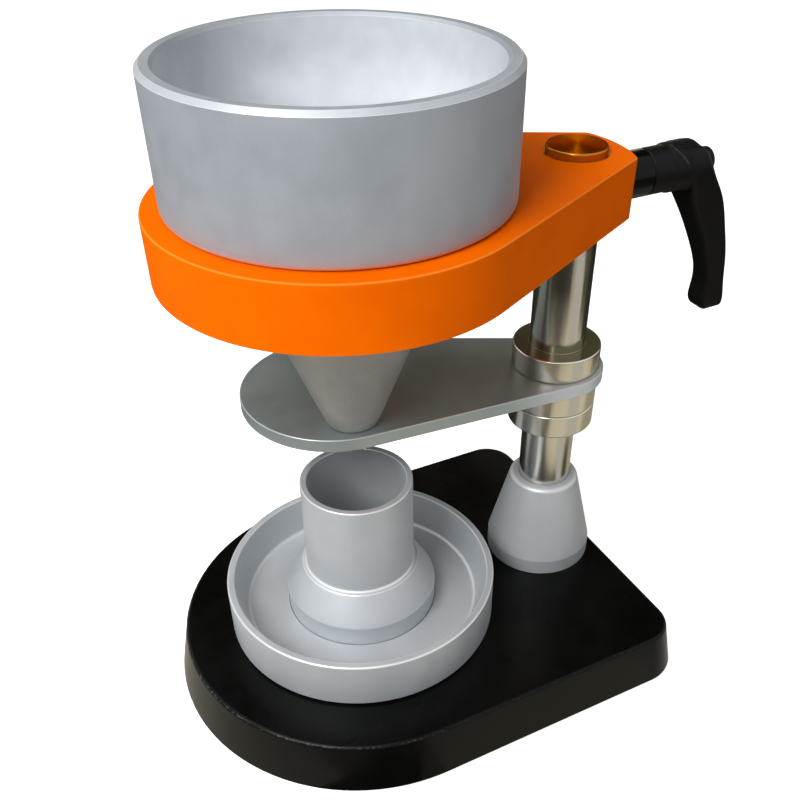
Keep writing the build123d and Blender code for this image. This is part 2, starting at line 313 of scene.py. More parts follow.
hopper_aluminium = blasted_finish("hopper_aluminium", (0.33, 0.36, 0.39), (0.39, 0.42, 0.455),
                                  roughness=0.5, metallic=0.4, lit_bowl=True)
cup_aluminium = blasted_finish("cup_aluminium", (0.495, 0.525, 0.55), (0.555, 0.585, 0.61),
                               roughness=0.48, metallic=0.4)
# The plate's blasted aluminium is a darker copy of the finish: painted shade for the shade under the arm.
plate_aluminium = blasted_finish("plate_aluminium", (0.245, 0.30, 0.30), (0.295, 0.355, 0.35),
                                 roughness=0.36, metallic=0.55, lit_end=True)
funnel_aluminium = blasted_finish("funnel_aluminium", (0.265, 0.265, 0.255), (0.37, 0.365, 0.345),
                                  roughness=0.45, metallic=0.5, lit_bowl=True)
print("made", hopper_aluminium.name, cup_aluminium.name, plate_aluminium.name, funnel_aluminium.name)


# %% [markdown]
# ## Turned steel, bronze and brass
# Collars, hub and cap come off a lathe: the tool leaves fine rings, and rings spread a highlight
# into a fan. A picture of rings would have to be wrapped round each piece. Noise along one
# number, the distance from the axis plus the height, draws circles on a flat face and lines round
# a wall alike. The upper collar's top is painted dark, a painted reflection, and the cap's wall is
# painted darker and less metallic, a painted shade.

# %% Turned finishes
COLUMN_AXIS = Vector(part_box("column")[0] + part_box("column")[1]) / 2
# Tops of collars and hub are painted dark olive and less metallic: a painted reflection.
DARK_TOP_ATTRIBUTE = "painted_dark_top"
DARK_TOP_COLOUR = (0.10, 0.105, 0.028)
DARK_TOP_COVER = 0.9
DARK_TOP_DULLER = 0.6
RING_ROUGHNESS = 0.06


def turning_rings(finish, pitch):
    """Noise that changes along radius and height, as a lathe tool leaves it."""
    mapping = {"Vector": finish.place(), "Location": (-COLUMN_AXIS.x, -COLUMN_AXIS.y, 0)}
    centred = finish.node("ShaderNodeMapping", None, mapping)
    x, y, z = [finish.node("ShaderNodeSeparateXYZ", None, {0: centred}, axis) for axis in "XYZ"]
    radius = (x * x + y * y) ** 0.5
    sockets = {"W": radius + z, "Scale": 1.0 / (pitch * MM), "Detail": 3.0}
    return finish.node("ShaderNodeTexNoise", {"noise_dimensions": "1D"}, sockets)


def turned_finish(name, colour, shade, edge, roughness, pitch, depth, satin=0.0, dark_topped=False):
    finish = Finish(name, {"Metallic": 1.0, "Specular Tint": opaque(edge)})
    rings = turning_rings(finish, pitch)
    tone = finish.spread(rings, low=0.3, high=0.7)
    wear_and_light = finish.attribute(EDGE_ATTRIBUTE)
    body = finish.mix(tone, opaque(shade), opaque(colour))
    if dark_topped:
        dark_top = finish.attribute(DARK_TOP_ATTRIBUTE)
        body = finish.mix(DARK_TOP_COVER * dark_top, body, opaque(DARK_TOP_COLOUR))
        finish.set("Metallic", 1 - DARK_TOP_DULLER * dark_top)
    if satin:
        finish.set("Metallic", 1 - satin * wear_and_light)
    finish.set("Base Color", finish.mix(wear_and_light * EDGE_SHARE, body, opaque(edge)))
    finish.set("Roughness", roughness + RING_ROUGHNESS * tone)
    finish.bump(rings, depth, distance=0.02 * MM)
    return finish.material


turned_steel = turned_finish("collar_steel", (0.66, 0.63, 0.56), (0.58, 0.55, 0.48), (0.86, 0.84, 0.78),
                             roughness=0.17, pitch=0.16, depth=0.04, dark_topped=True)
# The cap's darker edge colour and satin paint its wall and rim darker: a painted shade.
bronze_cap = turned_finish("cap_bronze", (0.59, 0.235, 0.018), (0.47, 0.172, 0.012), (0.40, 0.165, 0.02),
                           roughness=0.14, pitch=0.25, depth=0.1, satin=0.3)
brass = turned_finish("bush_brass", (0.66, 0.46, 0.16), (0.52, 0.34, 0.11), (0.80, 0.62, 0.28),
                      roughness=0.3, pitch=0.35, depth=0.15)
print("column axis at", [round(v / MM, 1) for v in COLUMN_AXIS])


# %% [markdown]
# ## Ground steel
# The column is ground bar, so it mirrors the room in long upright streaks. A perfect mirror looks
# drawn, so a haze varies its roughness, and noise that is stretched along the bar leaves the fine
# lines of the grinding. The stud and the screws take the same finish in black.

# %% Ground finishes
HAZE = 60.0
GRIND = 1500.0
GRIND_STRETCH = 0.02
HAZE_SHADE = 0.86
HAZE_ROUGHNESS = 0.16


def ground_finish(name, colour, roughness):
    finish = Finish(name, {"Metallic": 1.0})
    haze = finish.noise(HAZE, detail=3.0)
    stretched = {"Vector": finish.place(), "Scale": (1.0, 1.0, GRIND_STRETCH)}
    along = finish.node("ShaderNodeMapping", None, stretched)
    grind = finish.node("ShaderNodeTexNoise", None, {"Vector": along, "Scale": GRIND, "Detail": 2.0})
    shade = [HAZE_SHADE * channel for channel in colour]
    finish.set("Base Color", finish.mix(haze, opaque(shade), opaque(colour)))
    finish.set("Roughness", roughness + HAZE_ROUGHNESS * haze)
    finish.bump(grind, strength=0.05, distance=0.02 * MM)
    return finish.material


polished_steel = ground_finish("column_steel", (0.64, 0.62, 0.56), roughness=0.12)
dark_steel = ground_finish("stud_steel", (0.014, 0.014, 0.014), roughness=0.16)
print("made", polished_steel.name, dark_steel.name)


# %% [markdown]
# ## Paint and rubber
# The arm is powder coated in satin orange with a faint orange peel. The base and the lever wear a
# black coat with a finer grain, and the sole is dull rubber. None of these is metal, so they stay
# dielectric, and their life comes from bump, from clouds of tone and from roughness that breaks
# up the gloss. Edges are painted lighter, as wear and as a painted highlight. The coat of the
# base is chipped at its edges, so noise breaks up the lighter edge there.

# %% Painted finishes
TONE_CLOUDS = 30.0
TONE_ROUGHNESS = 0.1
CHIPS = 700.0
CHIPPED_SHARPNESS = 12
WORN_SHARPNESS = 3


def painted_finish(name, dark, light, edge, roughness, peel, depth, gloss, chipped=False):
    finish = Finish(name, {"Specular IOR Level": gloss})
    cloud = finish.spread(finish.noise(TONE_CLOUDS, detail=3.0, roughness=0.6), low=0.3, high=0.7)
    speck = finish.noise(peel)
    wear_and_light = finish.attribute(EDGE_ATTRIBUTE)
    if chipped:
        chips = finish.spread(finish.noise(CHIPS, detail=4.0, roughness=0.7), low=0.48, high=0.66)
        wear_and_light = wear_and_light ** CHIPPED_SHARPNESS * chips
    else:
        wear_and_light = wear_and_light ** WORN_SHARPNESS
    tone = (1 - SPECKLE_SHARE) * cloud + SPECKLE_SHARE * speck
    body = finish.mix(tone, opaque(dark), opaque(light))
    finish.set("Base Color", finish.mix(wear_and_light * EDGE_SHARE, body, opaque(edge)))
    finish.set("Roughness", roughness + TONE_ROUGHNESS * cloud)
    finish.bump(speck, depth, distance=0.06 * MM)
    return finish.material


# The arm's lighter edge colour is a painted highlight along its rounded edges.
orange_paint = painted_finish("arm_orange", (0.81, 0.122, 0.0), (0.90, 0.142, 0.0), (1.0, 0.32, 0.05),
                              roughness=0.45, peel=900.0, depth=0.12, gloss=0.006)
black_paint = painted_finish("base_black", (0.0010, 0.0011, 0.0009), (0.0022, 0.0024, 0.0024),
                             (0.26, 0.245, 0.22), roughness=0.24, peel=1500.0, depth=0.3, gloss=0.12,
                             chipped=True)
black_lever = painted_finish("lever_black", (0.0009, 0.0009, 0.0008), (0.0018, 0.0018, 0.0017),
                             (0.12, 0.12, 0.115), roughness=0.45, peel=2600.0, depth=0.3, gloss=0.14)
black_rubber = painted_finish("sole_rubber", (0.012, 0.012, 0.012), (0.02, 0.02, 0.02), (0.03, 0.03, 0.03),
                              roughness=0.75, peel=1200.0, depth=0.25, gloss=0.3)
print("painted", orange_paint.name, black_paint.name, black_lever.name, black_rubber.name)


# %% [markdown]
# ## From a shape to a piece of the part
# A modifier is only a recipe, and the exported model needs plain faces. So every shape ends the
# same way: its modifiers are baked into the mesh, doubled points merge and all faces point
# outwards. Sizes come from the boxes of the solids, so a piece can't drift from its place.

# %% Helpers for every mesh
MERGE_GAP = 0.002 * MM


def span(node):
    """Lowest and highest corner of a CAD node, in millimetres."""
    low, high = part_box(node)
    return low / MM, high / MM


def new_piece(name, mesh):
    piece = bpy.data.objects.new(name, mesh)
    scene.collection.objects.link(piece)
    return piece


def bake(piece):
    """Turns what a piece's modifiers make into its own plain mesh."""
    bpy.context.view_layer.update()
    graph = bpy.context.evaluated_depsgraph_get()
    baked = bpy.data.meshes.new_from_object(piece.evaluated_get(graph), depsgraph=graph)
    piece.modifiers.clear()
    piece.data = baked
    return baked


def close(mesh):
    """Merges doubled points and turns all faces outwards."""
    work = bmesh.new()
    work.from_mesh(mesh)
    bmesh.ops.remove_doubles(work, verts=work.verts, dist=MERGE_GAP)
    bmesh.ops.recalc_face_normals(work, faces=work.faces)
    for face in work.faces:
        face.smooth = True
    work.to_mesh(mesh)
    work.free()


def mark(mesh, name, values):
    """Writes one number for each point of a mesh, for the finishes to read."""
    layer = mesh.attributes.new(name, "FLOAT", "POINT")
    layer.data.foreach_set("value", values)


print("points closer than", round(MERGE_GAP / MM, 4), "mm merge")


# %% [markdown]
# A turned or cast face is flat right up to the small rounding at its edge. Smooth shading alone
# would bend the light across such a face. Weighted normals leave the large faces flat and let
# only the rounding turn the light. Then the piece takes the place of its CAD node, rides on that
# node's body and takes its finish.

# %% Dress a piece
SHARP_ANGLE = 50


def dress(piece, node, material):
    """Finishes a closed shape and puts it in the place of a CAD node."""
    close(piece.data)
    piece.data.set_sharp_from_angle(angle=math.radians(SHARP_ANGLE))
    flats = piece.modifiers.new("flats", "WEIGHTED_NORMAL")
    flats.keep_sharp = True
    finished = bake(piece)
    finished.materials.clear()
    finished.materials.append(material)
    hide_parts(node)
    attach(piece, frame["nodes"][node]["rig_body"])
    low, high = span(node)
    tops = [max(vertex.co[i] for vertex in finished.vertices) / MM - high[i] for i in range(3)]
    bottoms = [min(vertex.co[i] for vertex in finished.vertices) / MM - low[i] for i in range(3)]
    reach = max(abs(gap) for gap in tops + bottoms)
    print(node, "faces", len(finished.polygons), "off its solid's box by", round(reach, 2), "mm")


# %% [markdown]
# ## Trees of geometry nodes
# Two shapes here follow a rule: a profile goes round an axis, and a wire follows a helix. Points
# worked out in Python would give both, but a tree of geometry nodes keeps the rule in sight, with
# its sizes as named inputs. Each tree ends in plain faces of one finish. A modifier knows its
# inputs by identifier, so their names are looked up, and the result is baked at once.

# %% Make and run a tree
def geometry_tree(name, inputs):
    """A new tree with named inputs, and the values of these inputs by name."""
    tree = bpy.data.node_groups.new(name, "GeometryNodeTree")
    for label, kind in inputs.items():
        tree.interface.new_socket(label, in_out="INPUT", socket_type=kind)
    tree.interface.new_socket("Piece", in_out="OUTPUT", socket_type="NodeSocketGeometry")
    nodes = Nodes(tree)
    return nodes, {label: nodes.node("NodeGroupInput", output=label) for label in inputs}


def end_tree(nodes, shape, finish):
    """Ends a tree in plain faces of one finish."""
    plain = nodes.node("GeometryNodeRealizeInstances", None, {"Geometry": shape})
    finished = nodes.node("GeometryNodeSetMaterial", None, {"Geometry": plain, "Material": finish})
    nodes.node("NodeGroupOutput", None, {"Piece": finished})
    return nodes.tree


def run_tree(piece, tree, values):
    """Bakes what a tree makes of a piece, with the tree's inputs given by name."""
    modifier = piece.modifiers.new(tree.name, "NODES")
    modifier.node_group = tree
    for item in tree.interface.items_tree:
        if item.name in values:
            modifier[item.identifier] = values[item.name]
    return bake(piece)


print("trees so far", len(bpy.data.node_groups))


# %% [markdown]
# ## The lathe
# Hopper, funnel, cup, dish, foot, column, collars, hub and cap are all turned. Each could be spun
# by itself, but one Geometry Nodes tree makes them all: a profile of radius and height goes round
# a circle, as on a lathe, and the tree moves the result to its axis.

# %% Lathe tree
CIRCLE_RADIUS = 0.05


def lathe_tree():
    nodes, given = geometry_tree("lathe", {
        "Profile": "NodeSocketGeometry",
        "Segments": "NodeSocketInt",
        "Axis": "NodeSocketVector",
        "Finish": "NodeSocketMaterial",
    })
    profile = nodes.node("GeometryNodeMeshToCurve", None, {"Mesh": given["Profile"]})
    sizes = {"Resolution": given["Segments"], "Radius": CIRCLE_RADIUS}
    circle = nodes.node("GeometryNodeCurvePrimitiveCircle", None, sizes)
    upright = nodes.node("GeometryNodeSetCurveNormal", {"mode": "Z_UP"}, {"Curve": circle})
    turned = nodes.node("GeometryNodeCurveToMesh", None, {"Curve": upright, "Profile Curve": profile})
    merged = nodes.node("GeometryNodeMergeByDistance", None, {"Geometry": turned, "Distance": MERGE_GAP})
    placed = nodes.node("GeometryNodeTransform", None, {"Geometry": merged, "Translation": given["Axis"]})
    return end_tree(nodes, placed, given["Finish"])


LATHE = lathe_tree()
print("lathe nodes", len(LATHE.nodes))


# %% [markdown]
# A real corner is never sharp, and its small rounding is what catches the light. A Bevel modifier
# would give all corners one radius, so each profile lists its corners with their own rounding
# instead. The middle of a small rounding is marked to be painted lighter, as wear and as a painted
# highlight.

# %% Profiles with rounded corners
ARC_STEPS = 6
WORN_AND_LIT_EDGE = 2.6


def rounded(corners, closed):
    """Points (place, edge mark) of an outline with corners (across, up, rounding, edge mark if given); the
    mark is painted lighter as a highlight and as edge damage.
    """
    points = []
    count = len(corners)
    for i, (across, up, rounding, *given) in enumerate(corners):
        corner = Vector((across, up))
        most = given[0] if given else float(rounding <= WORN_AND_LIT_EDGE)
        if rounding == 0 or (not closed and i in (0, count - 1)):
            points.append((corner, 0.0))
            continue
        before = (Vector(corners[i - 1][:2]) - corner).normalized()
        after = (Vector(corners[(i + 1) % count][:2]) - corner).normalized()
        half = before.angle(after) / 2
        centre = corner + (before + after).normalized() * rounding / math.sin(half)
        start = corner + before * rounding / math.tan(half) - centre
        end = corner + after * rounding / math.tan(half) - centre
        sweep = start.angle_signed(end)
        for step in range(ARC_STEPS + 1):
            share = step / ARC_STEPS
            turned = Matrix.Rotation(-sweep * share, 2) @ start
            points.append((centre + turned, most * math.sin(math.pi * share)))
    return points


print("a rounding has", ARC_STEPS, "steps")


# %% [markdown]
# Cross holes are bored after turning, as in a workshop: a cylinder is cut from the piece. Faces
# could be laid round each hole by hand, but the Boolean modifier's exact solver does it cleanly on
# any wall.

# %% Boring
DRILL_SEGMENTS = 48


def drill(piece, drills):
    """Bores round holes, each given by its start, its end and its radius in millimetres."""
    for start, end, radius in drills:
        along = Vector(end) - Vector(start)
        work = bmesh.new()
        bmesh.ops.create_cone(work, cap_ends=True, segments=DRILL_SEGMENTS, radius1=radius * MM,
                              radius2=radius * MM, depth=along.length * MM)
        turn = Vector((0, 0, 1)).rotation_difference(along).to_matrix().to_4x4()
        work.transform(Matrix.Translation((Vector(start) + along / 2) * MM) @ turn)
        mesh = bpy.data.meshes.new("drill")
        work.to_mesh(mesh)
        work.free()
        bit = new_piece("drill", mesh)
        cut = piece.modifiers.new("hole", "BOOLEAN")
        cut.solver = "EXACT"
        cut.object = bit
        bake(piece)
        bpy.data.objects.remove(bit)


print("a bored hole has", DRILL_SEGMENTS, "sides")


# %% [markdown]
# Now a piece can be turned: its profile becomes a line of points, each point is marked for the
# finishes, and the lathe's tree runs. Worn and highlighted edges, the bowl's painted light and the
# collar tops' painted dark could be pictures laid on, but marks on the profile stay on their edge
# or face when a size changes.

# %% Turning
LATHE_SEGMENTS = 192


def nowhere(place):
    return False


def turned_piece(node, corners, material, axis=(0, 0, 0), closed=True, bowl=nowhere, bright=nowhere,
                 dark_top=nowhere, drills=()):
    """Turns a profile of (radius, height, rounding) corners, in millimetres, on the lathe."""
    points = rounded(corners, closed)
    mesh = bpy.data.meshes.new(node + "_profile")
    places = [(place.x * MM - CIRCLE_RADIUS, -place.y * MM, 0) for place, _ in points]
    edges = [(i, i + 1) for i in range(len(places) - 1)]
    if closed:
        edges.append((len(places) - 1, 0))
    mesh.from_pydata(places, edges, [])
    mark(mesh, EDGE_ATTRIBUTE, [max(worn_and_lit, float(bright(place))) for place, worn_and_lit in points])
    mark(mesh, BOWL_ATTRIBUTE, [float(bowl(place)) for place, _ in points])
    mark(mesh, DARK_TOP_ATTRIBUTE, [float(dark_top(place)) for place, _ in points])
    piece = new_piece(node + "_turned", mesh)
    sizes = {"Segments": LATHE_SEGMENTS, "Axis": [value * MM for value in axis], "Finish": material}
    close(run_tree(piece, LATHE, sizes))
    drill(piece, drills)
    dress(piece, node, material)


print("a turned piece has", LATHE_SEGMENTS, "segments")


# %% [markdown]
# ## Hopper and funnel
# The hopper is a heavy turned ring that stands on the arm. Its rim has a broad outer chamfer and
# a fine inner one, which catch the light first, and inside it runs down in one slope. The funnel
# is pressed in from below and carries that slope on to the spout. One turned piece would be easier,
# but the seam between the two shows. So both profiles are worked out from one cone and meet without
# a step, and one function tells where the inside of the bowl is, so that its painted light runs on
# across the seam.

# %% Turn hopper and funnel
HOPPER_WALL = 6.0
HOPPER_CHAMFER = 1.6
HOPPER_INNER_CHAMFER = 1.2
HOPPER_SEAT_ROUND = 2.5
BOWL_DEPTH = 19.1
BOWL_BLEND = 40.0
SPOUT_RADIUS = 11.1
SPOUT_WALL = 2.47
FLANGE_STEP = 1.5
SPIGOT_WALL = 2.4
FINE_EDGE = 0.35
EDGE_END = 0.02
QUIET_EDGE = 0.15
RIM_HIGHLIGHT = 0.25

hopper_low, hopper_high = span("hopper")
funnel_low, funnel_high = span("funnel")
arm_low, arm_high = span("arm")
hopper_radius = hopper_high.x
hopper_bore = hopper_radius - HOPPER_WALL
throat = SPOUT_RADIUS - SPOUT_WALL
slope = (hopper_bore - throat) / (hopper_high.z - BOWL_DEPTH - funnel_low.z)
join_radius = throat + slope * (funnel_high.z - funnel_low.z)
flange_radius = funnel_high.x
flange_bottom = funnel_low.z + (flange_radius - FLANGE_STEP - SPOUT_RADIUS) / slope
spigot_radius = flange_radius + SPIGOT_WALL


def in_lit_bowl(place):
    """True on the inside of the bowl and its cone, which is painted lighter as painted light."""
    cone = throat + slope * (place.y - funnel_low.z)
    below_rim = place.y < hopper_high.z - HOPPER_INNER_CHAMFER
    return below_rim and place.x < min(cone, hopper_bore) + FINE_EDGE


def on_rim_chamfer(place):
    """A painted highlight between the two edges of the hopper's outer chamfer."""
    inset = hopper_radius - place.x
    drop = hopper_high.z - place.y
    inside = inset > EDGE_END and drop > EDGE_END and inset + drop < HOPPER_CHAMFER + FINE_EDGE
    return RIM_HIGHLIGHT * inside


turned_piece("hopper", [
    (join_radius, funnel_high.z, 0),
    (flange_radius, funnel_high.z, 0),
    (flange_radius, hopper_low.z, 0),
    (spigot_radius, hopper_low.z, FINE_EDGE),
    (spigot_radius, arm_high.z, 0),
    (hopper_radius, arm_high.z, HOPPER_SEAT_ROUND),
    (hopper_radius, hopper_high.z - HOPPER_CHAMFER, FINE_EDGE),
    (hopper_radius - HOPPER_CHAMFER, hopper_high.z, FINE_EDGE),
    (hopper_bore + HOPPER_INNER_CHAMFER, hopper_high.z, FINE_EDGE, QUIET_EDGE),
    (hopper_bore, hopper_high.z - HOPPER_INNER_CHAMFER, FINE_EDGE, QUIET_EDGE),
    (hopper_bore, hopper_high.z - BOWL_DEPTH, BOWL_BLEND),
], hopper_aluminium, bowl=in_lit_bowl, bright=on_rim_chamfer)
turned_piece("funnel", [
    (throat, funnel_low.z, FINE_EDGE),
    (SPOUT_RADIUS, funnel_low.z, FINE_EDGE),
    (flange_radius - FLANGE_STEP, flange_bottom, 0),
    (flange_radius, flange_bottom, FINE_EDGE),
    (flange_radius, funnel_high.z, 0),
    (join_radius, funnel_high.z, 0),
], funnel_aluminium, bowl=in_lit_bowl)


# %% [markdown]
# ## Cup and dish
# The cup stands on a broad foot and has a bright ledge where the foot's cone ends. Cylinders that
# are joined would leave hard seams, while one profile gives each corner its own rounding. It begins
# and ends on the axis, so the lathe closes the floor by itself.

# %% Turn the cup
CUP_WALL = 3.0
CUP_FLOOR = 5.0
CUP_BAND = 11.5
CUP_BAND_ROUND = 2.0
CUP_NECK_HEIGHT = 25.0
CUP_NECK_STEP = 2.0
CUP_NECK_ROUND = 1.2
CUP_NECK_HOLLOW = 1.3
# The cup's ledge is painted lighter: a painted highlight.
CUP_NECK_HIGHLIGHT = 0.5
CUP_FLOOR_HOLLOW = 0.5
CUP_BORE = 22.0
CUP_RIM_ROUND = 0.7

cup_low, cup_high = span("measuring_cup")
cup_radius = CUP_BORE + CUP_WALL
turned_piece("measuring_cup", [
    (0, cup_low.z, 0),
    (cup_high.x, cup_low.z, FINE_EDGE),
    (cup_high.x, cup_low.z + CUP_BAND, CUP_BAND_ROUND),
    (cup_radius + CUP_NECK_STEP, cup_low.z + CUP_NECK_HEIGHT, CUP_NECK_ROUND, CUP_NECK_HIGHLIGHT),
    (cup_radius, cup_low.z + CUP_NECK_HEIGHT, CUP_NECK_HOLLOW),
    (cup_radius, cup_high.z, CUP_RIM_ROUND),
    (CUP_BORE, cup_high.z, CUP_RIM_ROUND),
    (CUP_BORE, cup_low.z + CUP_FLOOR, CUP_FLOOR_HOLLOW),
    (0, cup_low.z + CUP_FLOOR, 0),
], cup_aluminium, closed=False)


# %% [markdown]
# The dish is a shallow tray with a drafted inner wall, and a seat in its floor keeps the cup under
# the spout. A Solidify modifier would give it one thickness all over. A turned profile lets the
# wall grow towards the floor, as the draft asks.

# %% Turn the dish
DISH_WALL = 3.3
DISH_FLOOR = 8.5
DISH_FLOOR_RADIUS = 54.5
DISH_FLOOR_ROUND = 2.0
DISH_FOOT_CHAMFER = 1.5
DISH_RIM_ROUND = 0.9
SEAT_GAP = 0.3

dish_low, dish_high = span("overflow_dish")
dish_radius = dish_high.x
seat_radius = cup_high.x + SEAT_GAP
turned_piece("overflow_dish", [
    (0, dish_low.z, 0),
    (dish_radius - DISH_FOOT_CHAMFER, dish_low.z, FINE_EDGE),
    (dish_radius, dish_low.z + DISH_FOOT_CHAMFER, FINE_EDGE),
    (dish_radius, dish_high.z, DISH_RIM_ROUND),
    (dish_radius - DISH_WALL, dish_high.z, DISH_RIM_ROUND),
    (DISH_FLOOR_RADIUS, dish_low.z + DISH_FLOOR, DISH_FLOOR_ROUND),
    (seat_radius, dish_low.z + DISH_FLOOR, FINE_EDGE),
    (seat_radius, cup_low.z, 0),
    (0, cup_low.z, 0),
], cup_aluminium, closed=False)


# %% [markdown]
# ## Column, foot, collars, hub and cap
# The bar stands in a conical foot. A plain cylinder would do for most of it, but not for the fine
# edges at its ends, so it is turned as well. All these pieces share the column's axis, which the
# lathe takes as an input.

# %% Turn column and foot
FOOT_BAND = 8.0
FOOT_ROUND = 3.0
FOOT_TOP_WALL = 3.85
# The foot's upper rounding is painted lighter: a painted highlight.
FOOT_TOP_HIGHLIGHT = 0.7
FIT = 0.05
COLUMN_EDGE = 0.3

column_low, column_high = span("column")
column_centre = (column_low + column_high) / 2
column_radius = (column_high.x - column_low.x) / 2
axis = (column_centre.x, 0, 0)
foot_low, foot_high = span("column_foot")
foot_radius = (foot_high.x - foot_low.x) / 2
bore = column_radius + FIT
turned_piece("column", [
    (0, column_low.z, 0),
    (column_radius, column_low.z, COLUMN_EDGE),
    (column_radius, column_high.z, COLUMN_EDGE),
    (0, column_high.z, 0),
], polished_steel, axis, closed=False)
turned_piece("column_foot", [
    (bore, foot_low.z, 0),
    (foot_radius, foot_low.z, FINE_EDGE),
    (foot_radius, foot_low.z + FOOT_BAND, FOOT_ROUND),
    (bore + FOOT_TOP_WALL, foot_high.z, FOOT_ROUND, FOOT_TOP_HIGHLIGHT),
    (bore, foot_high.z, FINE_EDGE),
], cup_aluminium, axis)


# %% [markdown]
# Two collars hold the shutter's hub at its height, and a set screw clamps each on the bar. The hub
# carries the plate on a spigot. Three profiles could be written out, but they differ little, so one
# function turns all three and bores the screw's hole where there is no spigot. Their tops are
# painted dark and less metallic, a painted reflection.

# %% Turn collars and hub
COLLAR_EDGE = 0.7
# The collars' outer edges are painted lighter: a painted highlight.
COLLAR_HIGHLIGHT = 0.3
HUB_SPIGOT_WALL = 3.5
SET_SCREW_HOLE = 2.55
DRILL_OVERRUN = 1.0

plate_low, plate_high = span("shutter_plate")
hub_spigot_radius = column_radius + HUB_SPIGOT_WALL


def collar(node, top_spigot=0.0):
    """Ring with a set screw's hole, or with a spigot above it where one is asked for."""
    low, high = span(node)
    radius = (high.x - low.x) / 2
    top = high.z - top_spigot
    corners = [
        (bore, low.z, FINE_EDGE),
        (radius, low.z, COLLAR_EDGE, COLLAR_HIGHLIGHT),
        (radius, top, COLLAR_EDGE, COLLAR_HIGHLIGHT),
    ]
    drills = []
    if top_spigot:
        corners += [(hub_spigot_radius, top, 0), (hub_spigot_radius, high.z, 0)]
    else:
        middle = (low.z + high.z) / 2
        inside = (axis[0], bore - DRILL_OVERRUN, middle)
        outside = (axis[0], radius + DRILL_OVERRUN, middle)
        drills = [(inside, outside, SET_SCREW_HOLE)]
    corners += [(bore, high.z, FINE_EDGE)]

    def on_top(place):
        """The top face, which is painted dark as a painted reflection."""
        return place.y > high.z - EDGE_END

    turned_piece(node, corners, turned_steel, axis, dark_top=on_top, drills=drills)


collar("lower_collar")
collar("upper_collar")
collar("shutter_hub", top_spigot=plate_high.z - plate_low.z)


# %% [markdown]
# The cap closes the bar's end above the arm, held by its plug. Facing it on the lathe left fine
# waves, and they throw the fan of light on its top. Bump could stand in for them, but they are wide
# enough to be seen, so they are small steps of the profile itself.

# %% Turn the cap
CAP_EDGE = 0.8
CAP_PLUG_RADIUS = 6.0
CAP_RINGS = 13
CAP_RING_DEPTH = 0.1
CAP_RING_STEPS = 8

cap_low, cap_high = span("column_cap")


def cap_rings():
    """The fine waves that the facing tool leaves on the cap, from its edge to its middle."""
    reach = column_radius - CAP_EDGE
    count = CAP_RINGS * CAP_RING_STEPS
    rings = []
    for i in range(1, count):
        wave = math.sin(2 * math.pi * i / CAP_RING_STEPS)
        rings.append((reach * (1 - i / count), cap_high.z - CAP_RING_DEPTH * (1 + wave) / 2, 0))
    return rings


def on_shaded_cap_wall(place):
    """The cap's wall and rounded edge, which are painted darker and less metallic as a painted shade."""
    return place.x > column_radius - CAP_EDGE + EDGE_END


turned_piece("column_cap", [
    (0, cap_low.z, 0),
    (CAP_PLUG_RADIUS, cap_low.z, FINE_EDGE),
    (CAP_PLUG_RADIUS, column_high.z, 0),
    (column_radius, column_high.z, 0),
    (column_radius, cap_high.z, CAP_EDGE),
    *cap_rings(),
    (0, cap_high.z, 0),
], bronze_cap, axis, closed=False, bright=on_shaded_cap_wall)


# %% [markdown]
# ## Slabs: base, sole, arm and shutter plate
# These are flat pieces with an outline of lines and arcs. An extruded curve with a bevel would do
# for most, but not for the draft of the base. So a slab is built in rows: each row is the outline
# drawn in by an inset at a height, and a draft or a rounded edge is a few rows. Holes are loops
# that run the other way round, so the same inset widens them.

# %% Outlines
OUTLINE_STEPS = 48
HOLE_STEPS = 96
EDGE_STEPS = 5


def arc(centre, radius, start, end, steps=OUTLINE_STEPS):
    """Points on an arc, by angles in degrees."""
    angles = [math.radians(start + (end - start) * i / steps) for i in range(steps + 1)]
    return [Vector((centre[0] + radius * math.cos(a), centre[1] + radius * math.sin(a))) for a in angles]


def hole(centre, radius, steps=HOLE_STEPS):
    """A round loop that runs clockwise."""
    return arc(centre, radius, 360, 0, steps)[:-1]


def inwards(loop):
    """Unit vectors at each point of a loop that point into the material."""
    vectors = []
    for i in range(len(loop)):
        along = (loop[(i + 1) % len(loop)] - loop[i - 1]).normalized()
        vectors.append(Vector((-along.y, along.x)))
    return vectors


def edge_rows(low, high, radius, draft=0.0, edge_wear_and_highlight=1.0, wall_light=0.0):
    """Rows (inset, height, edge mark) of a wall between two rounded edges; the mark paints edges lighter as
    a highlight and as edge damage, and the wall's share as painted light.
    """
    lean = draft * (high - low)
    bends = []
    for i in range(EDGE_STEPS + 1):
        angle = math.pi / 2 * i / EDGE_STEPS
        worn_and_lit = max(edge_wear_and_highlight * math.sin(2 * angle), wall_light * i / EDGE_STEPS)
        bends.append((radius * (1 - math.sin(angle)), radius * (1 - math.cos(angle)), worn_and_lit))
    rows = [(inset, low + rise, worn_and_lit) for inset, rise, worn_and_lit in bends]
    rows += [(lean + inset, high - rise, worn_and_lit) for inset, rise, worn_and_lit in reversed(bends)]
    return rows


print("a wall has", 2 * (EDGE_STEPS + 1), "rows")


# %% [markdown]
# With its rows at hand, a slab is a loop: points for each row, faces between neighbouring rows, and
# a fill at either end, which leaves the holes open. Each point is marked with its row's wear and
# painted highlight, as the lathe marks its profiles.

# %% Slabs
def worn_evenly(place):
    return 1.0


